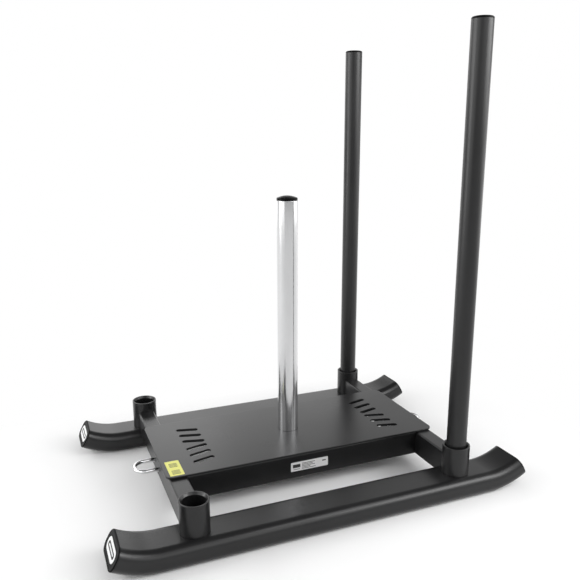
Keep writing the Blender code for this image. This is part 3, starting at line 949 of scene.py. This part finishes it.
@dataclass(frozen=True)
class CappedTube:
    """An upright tube with a plastic cap pressed into its top."""

    name: str
    centre: Pair
    finish: Finish
    body: Body
    radius: float
    wall: float
    low: float
    high: float
    cap_rim: float
    cap_round: float
    cap_dome: float
    edges: Box = (0.0009, 0.0005, 0.0003, 0.0003)
    plug: tuple[Pair, ...] = (  # inset from the tube's inside, and depth in it
        (0.0030, 0.0120), (0.0014, 0.0120), (0.0012, 0.0112), (0.0, 0.0090), (0.0012, 0.0080),
        (0.0012, 0.0060), (0.0, 0.0040), (0.0012, 0.0030), (0.0012, 0.0))
    cap_edge: float = 0.0004
    round_steps: int = 9
    dome_steps: int = 18
    dome_tip: float = 0.04  # share of a quarter turn that the dome's last ring lies from its top
    sides: int = 112

    def build(self) -> None:
        """The tube's wall is a profile turned about its axis; then the cap."""
        outer, inner = self.radius, self.radius - self.wall
        wall = np.array([[outer, self.low], [outer, self.high], [inner, self.high], [inner, self.low]])
        profile = soften(wall, self.edges, steps=4, support=CRISP)
        stand = Stand((*self.centre, 0.0))
        skin = Skin()
        skin.wrap(stand.place(turned(profile, self.sides)), round_rows=True)
        skin.make(f"{self.name}_tube", self.finish, self.body, [self.name])
        self.build_cap(stand)

    def build_cap(self, stand: Stand) -> None:
        """The cap from its plug's end upwards: two ribs in the tube, a rim over its edge, and a dome.

        The profile of (radius, height) is turned. The dome's height falls as the square of its radius.

        Args:
            stand: The tube's axis.
        """
        base = self.high + GAP
        rise = base + self.cap_rim
        plug = np.array([self.radius - self.wall - GAP, base]) - self.plug
        outer, edge = self.radius, self.cap_edge
        rim = [(outer - edge, base), (outer, base + edge), (outer, rise - CRISP)]
        inset, along = quarter(self.cap_round, self.round_steps)
        shoulder = np.stack([outer - inset, rise + along], axis=-1)[:-1]
        crown = rise + self.cap_round
        share = np.sin(np.linspace(1.0, self.dome_tip, self.dome_steps) * math.pi / 2)
        fall = self.cap_dome * (1 - share**2)
        dome = np.stack([(outer - self.cap_round) * share, crown + fall], axis=-1)
        rings = turned(np.concatenate([plug, rim, shoulder, dome]), self.sides)
        skin = Skin()
        skin.lathe(stand.place(rings), stand.place(Z_AXIS * (crown + self.cap_dome)))
        skin.make(f"{self.name}_dome", GLOSS_PLASTIC, self.body, [f"{self.name}_cap"])


# Fasteners


def hexagon_wall(across_flats: float, thickness: float, sides: int) -> Array:
    """Draws the outer wall of a nut or a bolt's head, whose corners are cut by a cone at each face.

    At angle a the hexagon's radius is half its width over the flats, divided by the cosine of the angle from
    the nearest flat. A ring that lies a fall under the face may be no larger than the face's circle plus the
    fall over tan 30 degrees.

    Args:
        across_flats: The hexagon's width over its flats.
        thickness: Its height.
        sides: Points in a ring.

    Returns:
        Rings from the upper face to the lower one, (rings, sides, 3).
    """
    face, slope = across_flats / 2 * HEXAGON_FACE, math.tan(math.pi / 6)
    fall = np.linspace(0.0, (across_flats / math.sqrt(3.0) - face) * slope, CHAMFER_STEPS)
    falls = np.concatenate([fall, fall[::-1]])[:, None]
    angle = np.arange(sides) * TURN / sides
    flat = across_flats / 2 / np.cos((angle + math.pi / 6) % (math.pi / 3) - math.pi / 6)
    return spun(np.minimum(flat, face + falls / slope), np.concatenate([thickness - fall, fall[::-1]]), sides)


def thread(distance: Array, turns: Array, pitch: float, depth: float) -> Array:
    """How deep a screw thread cuts: a wave of the distance over the pitch, less the share of the turn."""
    return depth * (0.5 - 0.5 * np.cos(TURN * (distance / pitch - turns)))


@dataclass(frozen=True)
class Washer:
    """A flat round washer with softened edges."""

    node: str
    stand: Stand
    outer: float
    bore: float
    thickness: float
    edge: float = 0.0004
    sides: int = 64

    def build(self) -> None:
        """Its section turned about its axis."""
        high = self.thickness
        wall = np.array([[self.outer, 0.0], [self.outer, high], [self.bore, high], [self.bore, 0.0]])
        skin = Skin()
        profile = soften(wall, self.edge, steps=3, support=CRISP / 2)
        skin.wrap(self.stand.place(turned(profile, self.sides)), round_rows=True)
        skin.make(f"{self.node}_ring", ZINC_PLATE, nodes=[self.node])


@dataclass(frozen=True)
class Nut:
    """A hexagon nut, chamfered on both faces."""

    node: str
    stand: Stand
    across_flats: float
    thickness: float
    bore: float
    flare: float = 0.0007
    sides: int = 96

    def build(self) -> None:
        """The outer wall's rings, then up the bore, closed into one ring of rings."""
        wide, high = self.bore + self.flare, self.thickness
        bore = np.array([[wide, 0.0], [self.bore, self.flare], [self.bore, high - self.flare], [wide, high]])
        rings = np.concatenate([hexagon_wall(self.across_flats, high, self.sides), turned(bore, self.sides)])
        skin = Skin()
        skin.wrap(self.stand.place(rings), round_rows=True)
        skin.make(f"{self.node}_hexagon", ZINC_PLATE, nodes=[self.node])


@dataclass(frozen=True)
class Bolt:
    """A hexagon bolt standing on its head, threaded to its tip."""

    stand: Stand
    across_flats: float = 0.024
    head: float = 0.010
    radius: float = 0.008
    length: float = 0.0899
    neck: float = 0.001
    pitch: float = 0.002
    thread_depth: float = 0.0011
    thread_length: float = 0.040
    tip_width: float = 0.0014
    tip_length: float = 0.0012
    sides: int = 96

    def build(self) -> None:
        """Head rings, then the shank, whose radius is cut by the thread towards its tip."""
        start, stop = self.length - self.thread_length, self.length - self.tip_length
        steps = int(self.thread_length / self.pitch * THREAD_STEPS)
        height = np.array([self.head, self.head + self.neck, *np.linspace(start, stop, steps)])
        share = np.clip((height - start) / self.pitch, 0.0, 1.0)[:, None]
        turns = np.arange(self.sides) / self.sides
        radius = self.radius - share * thread(height[:, None], turns, self.pitch, self.thread_depth)
        rings = np.concatenate([
            hexagon_wall(self.across_flats, self.head, self.sides)[::-1], spun(radius, height, self.sides),
            turned(np.array([[self.radius - self.tip_width, self.length]]), self.sides)])
        skin = Skin()
        skin.lathe(self.stand.place(rings))
        skin.make("post_bolt_hexagon", ZINC_PLATE, nodes=["post_bolt"])


@dataclass(frozen=True)
class TowLoop(FramePart):
    """A bent chrome rod whose threaded legs go through a crossbar, each with a washer and a nut inside."""

    end: End
    rod: float = 0.005
    bend: float = 0.026
    bend_x: float = 0.0485
    leg_end: float = -0.0336
    tip: float = 0.0038
    thread_length: float = 0.0125
    pitch: float = 0.0015
    thread_depth: float = 0.0009
    washer_x: float = -0.0223
    washer: Triple = (0.010, 0.0053, 0.002)  # outer radius, bore, thickness
    nut_x: float = -0.0306
    nut: Triple = (0.017, 0.008, 0.0052)  # width over flats, thickness, bore
    leg_steps: int = 12
    bend_steps: int = 49
    sides: int = 36

    def path(self) -> Places:
        """Follows the rod's centreline.

        Along the legs the point moves out at -bend or +bend; round the bend it is the centre plus the bend's
        radius times (-cos, sin) of the angle turned.

        Returns:
            Distances along it, and points and outward directions, (n, 3) each, in the loop's own place.
        """
        leg = self.bend_x - self.leg_end
        arc = self.bend * math.pi
        fine = np.linspace(0.0, self.thread_length, int(self.thread_length / self.pitch * THREAD_STEPS) + 1)
        first = np.concatenate([fine, np.linspace(self.thread_length + SUPPORT, leg, self.leg_steps)])
        round_bend = leg + self.bend * np.linspace(0.0, math.pi, self.bend_steps)[1:-1]
        along = np.concatenate([first, round_bend, leg + arc + (leg - first[::-1])])
        turn = np.clip((along - leg) / self.bend, 0.0, math.pi)
        straight = np.minimum(along, leg + arc + leg - along)
        outward = np.stack([-np.cos(turn), np.zeros_like(turn), np.sin(turn)], axis=-1)
        out = self.leg_end + np.minimum(straight, leg)
        return along, self.bend * outward + out[:, None] * Z_AXIS, outward

    def stand(self, out: float = 0.0, y: float = 0.0) -> Stand:
        """A place on the loop, so far out from the crossbar's middle. Its Z points out of the sled's end."""
        origin = (self.end.value * (self.socket_x + out), y, self.tube_middle)
        return Stand(origin, (0.0, 1.0, 0.0), (0.0, 0.0, 1.0), (float(self.end.value), 0.0, 0.0))

    def build(self) -> None:
        """The rod: point = centreline + radius * (cos a outward + sin a up), threaded at both ends."""
        along, points, outward = self.path()
        turns = np.arange(self.sides) / self.sides
        from_end = np.minimum(along, along[-1] - along)[:, None]
        on_thread = np.clip((self.thread_length - from_end) / self.pitch, 0.0, 1.0)
        radius = self.rod - on_thread * thread(from_end, turns, self.pitch, self.thread_depth)
        radius[[0, -1]] = self.tip
        cos, sin = circle(1.0, self.sides).T[..., None]
        rings = points[:, None] + radius[..., None] * (cos * outward[:, None] + sin * Y_AXIS)
        skin = Skin()
        skin.lathe(self.stand().place(rings))
        name = f"{self.end.word}_tow_loop"
        skin.make(f"{name}_rod", LOOP_CHROME, nodes=[name])
        for side in Side:
            leg, y = f"{name}_{side.word}", side.value * self.bend
            Washer(f"{leg}_washer", self.stand(self.washer_x, y), *self.washer).build()
            Nut(f"{leg}_nut", self.stand(self.nut_x, y), *self.nut).build()


# Labels


@dataclass(frozen=True)
class Label:
    """A thin film with round corners, and printed blocks (x, y, length, width) on it that spell nothing."""

    name: str
    stand: Stand
    size: Pair
    film: Finish
    marks: tuple[Box, ...]
    faint_marks: tuple[Box, ...] = ()
    corner: float = 0.0015
    mark_corner: float = 0.0006
    round_limit: float = 2.05  # a block's width over its largest corner
    lift: float = 0.00003
    thickness: float = 0.00012
    ink_lift: float = 0.00001
    ink_thickness: float = 0.00005

    def build_slabs(self, name: str, boxes: Sequence[Box], span: Pair, corner: float, finish: Finish) -> None:
        """Makes a piece of low blocks, each an outline at two heights, closed by triangles to its middle.

        Args:
            name: The piece's name.
            boxes: The blocks.
            span: Their lower and upper height over the label's stand.
            corner: The radius of their corners, as far as their sizes allow it.
            finish: What they are made of.
        """
        skin = Skin()
        for x, y, length, width in boxes:
            radius = min(corner, min(length, width) / self.round_limit)
            line = Cutout((x, y), length, width, radius, steps=4).line()
            skin.lathe(self.stand.place(np.stack([lifted(line, height) for height in span])))
        skin.make(name, finish)

    def build(self) -> None:
        """The film, then each ink as a piece of its own."""
        film = self.lift, self.thickness
        self.build_slabs(self.name, [(0.0, 0.0, *self.size)], film, self.corner, self.film)
        ink = self.thickness + self.ink_lift, self.thickness + self.ink_thickness
        self.build_slabs(f"{self.name}_print", self.marks, ink, self.mark_corner, BLACK_INK)
        if self.faint_marks:
            self.build_slabs(f"{self.name}_fine_print", self.faint_marks, ink, self.mark_corner, GREY_INK)


# Studio


@dataclass(frozen=True)
class Softbox:
    """A rectangular lamp that faces the sled from a direction: degrees right of +Y and degrees up."""

    name: str
    azimuth: float
    elevation: float
    width: float
    height: float
    radiance: float
    distance: float = 2.6
    target: Triple = (0.0, 0.0, 0.2)

    def build(self) -> None:
        """The lamp's power is its radiance times pi times its area."""
        data = bpy.data.lights.new(self.name, "AREA")
        data.shape = "RECTANGLE"
        data.size, data.size_y = self.width, self.height
        data.energy = self.radiance * math.pi * self.width * self.height
        turn, rise = math.radians(self.azimuth), math.radians(self.elevation)
        way = Vector((math.sin(turn) * math.cos(rise), math.cos(turn) * math.cos(rise), math.sin(rise)))
        lamp = bpy.data.objects.new(self.name, data)
        lamp.location = Vector(self.target) + way * self.distance
        lamp.rotation_euler = way.to_track_quat("Z", "Y").to_euler()
        lamp.visible_camera = False
        bpy.context.scene.collection.objects.link(lamp)


@dataclass(frozen=True)
class Studio:
    """A pale floor, a white backdrop, softboxes and the camera. Shades are 1 at white."""

    floor_radius: float = 9.0
    floor_core: float = 0.05
    floor_rings: int = 24
    floor_sides: int = 96
    floor_drop: float = 0.0002
    floor_grey: float = 0.96
    floor_glow: float = 0.01
    floor_shades: Pair = (1.04, 1.31)  # in mirrors, near and far
    floor_span: Pair = (-1.5, 0.3)
    clear_centre: Triple = (-0.10, -0.15, 0.0)
    clear_ring: Pair = (0.62, 0.95)
    clear_behind: Pair = (0.33, 0.52)
    world_fill: float = 0.26
    low_room: Pair = (0.08, 0.39)  # in mirrors, near and far
    middle_room: Pair = (1.84, 1.16)
    high_room: float = 0.23
    room_span: Pair = (-0.5, 0.5)
    room_heights: Triple = (0.0, 0.35, 0.7)
    lens: float = 40.307
    sensor: float = 36.0
    shift: Pair = (0.18, 6.9)  # in the picture's pixels
    camera_place: Triple = (-0.5774, -1.4255, 0.8110)
    camera_ahead: Triple = (0.3687, 0.9000, -0.2325)
    camera_roll: float = math.radians(0.124)
    softboxes: tuple[Softbox, ...] = (
        Softbox("key_softbox", 130.0, 30.0, 1.85, 0.87, 6.84),
        Softbox("left_strip", -80.0, 12.0, 0.92, 0.87, 4.70),
        Softbox("left_high_softbox", -70.0, 30.0, 1.85, 0.87, 4.40),
        Softbox("left_front_softbox", -110.0, 21.0, 1.85, 1.75, 1.40),
        Softbox("back_low_softbox", 0.0, 12.0, 2.9, 0.87, 0.89),
        Softbox("back_high_softbox", -10.0, 30.0, 1.85, 0.87, 1.17),
        Softbox("right_low_softbox", 100.0, 12.0, 2.9, 0.87, 1.50),
        Softbox("near_softbox", 175.0, 38.0, 1.4, 1.6, 1.13),
        Softbox("near_high_softbox", 145.0, 48.0, 1.1, 0.87, 2.66))

    def build(self) -> None:
        """The floor, the world, the lamps and the camera."""
        self.build_floor()
        self.build_world()
        for softbox in self.softboxes:
            softbox.build()
        self.build_camera()

    def build_floor(self) -> None:
        """A disc as rings of points, each ring's radius growing with the square of its number."""
        radius = self.floor_radius * np.linspace(self.floor_core, 1.0, self.floor_rings) ** 2
        skin = Skin()
        rings = skin.wrap(spun(radius[:, None], np.full_like(radius, -self.floor_drop), self.floor_sides))
        skin.tip(rings[0], -self.floor_drop * Z_AXIS)
        mesh = skin.mesh("studio_floor")
        if mesh.polygons[0].normal.z < 0:
            mesh.flip_normals()
        material = bpy.data.materials.new("floor_paper")
        material.use_nodes = True
        self.draw_floor(Bench(material.node_tree))
        mesh.materials.append(material)
        floor = bpy.data.objects.new("studio_floor", mesh)
        bpy.context.scene.collection.objects.link(floor)

    def draw_floor(self, bench: Bench) -> None:
        """Matt paper with a glow that only the camera sees, clearing to plain white far out.

        Args:
            bench: The floor's nodes.
        """
        camera, mirror = bench.rays()
        where = bench.add("TexCoord")["Object"]
        depth = bench.add("SeparateXYZ", {"Vector": where})["Y"]
        paper = bench.add("BsdfDiffuse", {"Color": (self.floor_grey,) * 3 + (1.0,)})[0]
        glow = bench.add("Emission", {"Strength": bench.math("MULTIPLY", camera, self.floor_glow)})[0]
        near = bench.add("AddShader", {0: paper, 1: glow})[0]
        mirrored = bench.math("MULTIPLY", mirror, bench.spread(depth, *self.floor_shades, *self.floor_span))
        far = bench.add("Emission", {"Strength": bench.math("MAXIMUM", camera, mirrored)})[0]
        distance = bench.add("VectorMath", {0: where, 1: self.clear_centre}, operation="DISTANCE")["Value"]
        clear = bench.math("MAXIMUM", bench.spread(distance, 0.0, 1.0, *self.clear_ring),
                           bench.spread(depth, 0.0, 1.0, *self.clear_behind))
        bench.add("OutputMaterial", {"Surface": bench.add("MixShader", {0: clear, 1: near, 2: far})[0]})

    def build_world(self) -> None:
        """White to the camera, an even fill for matt faces, and for mirrors a room with a bright belt."""
        world = bpy.data.worlds.new("studio_world")
        bpy.context.scene.world = world
        world.use_nodes = True
        bench = Bench(world.node_tree)
        parts = bench.add("SeparateXYZ", {"Vector": bench.add("TexCoord")["Generated"]})
        low, middle = (
            bench.spread(parts["Y"], *room, *self.room_span) for room in (self.low_room, self.middle_room))
        floor, belt, ceiling = self.room_heights
        room = bench.spread(parts["Z"], low, middle, floor, belt)
        room = bench.spread(parts["Z"], room, self.high_room, belt, ceiling)
        camera, mirror = bench.rays()
        other = bench.math("SUBTRACT", 1.0, bench.math("MAXIMUM", mirror, camera))
        total = bench.math("ADD", camera, bench.math("MULTIPLY", mirror, room))
        total = bench.math("ADD", total, bench.math("MULTIPLY", other, self.world_fill))
        glow = bench.add("Background", {"Color": (1.0, 1.0, 1.0, 1.0), "Strength": total})[0]
        bench.add("OutputWorld", {"Surface": glow})

    def build_camera(self) -> None:
        """The photograph's camera, from its measured place, direction and roll."""
        data = bpy.data.cameras.new("camera")
        data.sensor_width, data.lens = self.sensor, self.lens
        data.shift_x, data.shift_y = (shift / PICTURE_WIDTH for shift in self.shift)
        ahead = Vector(self.camera_ahead).normalized()
        level = ahead.cross(Vector(Z_AXIS)).normalized()
        right = Matrix.Rotation(self.camera_roll, 3, ahead) @ level
        turn = Matrix((right, right.cross(ahead), -ahead)).transposed().to_4x4()
        camera = bpy.data.objects.new("camera", data)
        camera.matrix_world = Matrix.Translation(self.camera_place) @ turn
        bpy.context.scene.collection.objects.link(camera)
        bpy.context.scene.camera = camera


# The sled


@dataclass(frozen=True)
class WeightSled(FramePart):
    """The whole sled, in the order in which it is put together."""

    post_top: float = 0.6768
    pole_length: float = 1.0
    washer_foot: float = 0.0317
    washer: Triple = (0.015, 0.0084, 0.003)  # outer radius, bore, thickness
    bolt_foot: float = 0.0214
    deck_label: Triple = (-0.315, -0.10075, 0.1003)
    deck_film: Pair = (0.0695, 0.032)
    bar: Pair = (0.0022, 0.0185)
    bar_pitch: float = 0.005
    bar_starts: Pair = (-0.0265, 0.0065)
    bars: int = 4
    rail_label: Triple = (0.0, -0.138, 0.065)
    rail_film: Pair = (0.096, 0.023)
    blocks: tuple[Box, ...] = ((-0.0335, 0.0015, 0.019, 0.0085), (0.0375, 0.0035, 0.010, 0.0028))
    lines: tuple[Box, ...] = (
        (-0.003, 0.0062, 0.034, 0.0016), (-0.006, 0.0028, 0.028, 0.0016), (-0.003, -0.0006, 0.034, 0.0016),
        (-0.009, -0.0040, 0.022, 0.0016), (-0.002, -0.0074, 0.036, 0.0016), (-0.0335, -0.0068, 0.017, 0.0014))

    def frame_parts(self) -> list[FramePart]:
        """The welded and bolted frame."""
        sockets = [Socket(end, side) for end in End for side in Side]
        return [*map(Runner, Side), *sockets, *map(Crossbar, End), *map(DeckRail, Side), Deck()]

    def upright_parts(self) -> list[CappedTube]:
        """The plate post on the crossmember, and the two push poles on the runners.

        Returns:
            The three tubes.
        """
        post = CappedTube("weight_post", (0.0, 0.0), POST_CHROME, Body.SLED, radius=0.025, wall=0.0025,
                          low=self.tube_high + GAP, high=self.post_top, cap_rim=0.0040, cap_round=0.0028,
                          cap_dome=0.0045)
        poles = [
            CappedTube(f"{side.word}_push_pole", (self.socket_x, side.value * self.runner_y), POLE_COAT,
                       Body(f"{side.word}_pole"), radius=0.023, wall=0.002, low=self.runner_top,
                       high=self.runner_top + self.pole_length, cap_rim=0.0012, cap_round=0.0030,
                       cap_dome=0.0007)
            for side in Side]
        return [post, *poles]

    def fastener_parts(self) -> list[Bolt | Washer | TowLoop]:
        """The post's bolt and washer, and the tow loops with their own."""
        washer = Washer("post_bolt_washer", Stand((0.0, 0.0, self.washer_foot)), *self.washer)
        return [Bolt(Stand((0.0, 0.0, self.bolt_foot))), washer, *map(TowLoop, End)]

    def labels(self) -> list[Label]:
        """Lays out the film on the deck's front left corner and the one on the left rail.

        Returns:
            The labels.
        """
        deck = Stand(self.deck_label, (0.0, 1.0, 0.0), (-1.0, 0.0, 0.0))
        bars = tuple((start + number * self.bar_pitch, 0.0, *self.bar)
                     for start in self.bar_starts for number in range(self.bars))
        rail = Stand(self.rail_label, (1.0, 0.0, 0.0), (0.0, 0.0, 1.0), (0.0, -1.0, 0.0))
        return [Label("deck_label", deck, self.deck_film, YELLOW_FILM, bars),
                Label("rail_label", rail, self.rail_film, SILVER_FOIL, self.blocks, self.lines)]

    def build(self, nodes: Mapping[str, bpy.types.Object]) -> None:
        """Builds every piece, and coats the crossmember, which stays a plain solid.

        Args:
            nodes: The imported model's solids by name.
        """
        for part in [*self.frame_parts(), *self.upright_parts(), *self.fastener_parts(), *self.labels()]:
            part.build()
        for slot in nodes["centre_crossmember"].material_slots:
            slot.material = FRAME_COAT.material()


def main() -> None:
    """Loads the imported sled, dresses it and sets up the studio."""
    logging.basicConfig(level=logging.INFO, format="%(message)s")
    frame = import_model()
    WeightSled().build(frame["nodes"])
    Studio().build()
    bpy.context.scene.view_settings.view_transform = "Standard"
    bpy.context.view_layer.update()


if __name__ == "__main__":
    main()
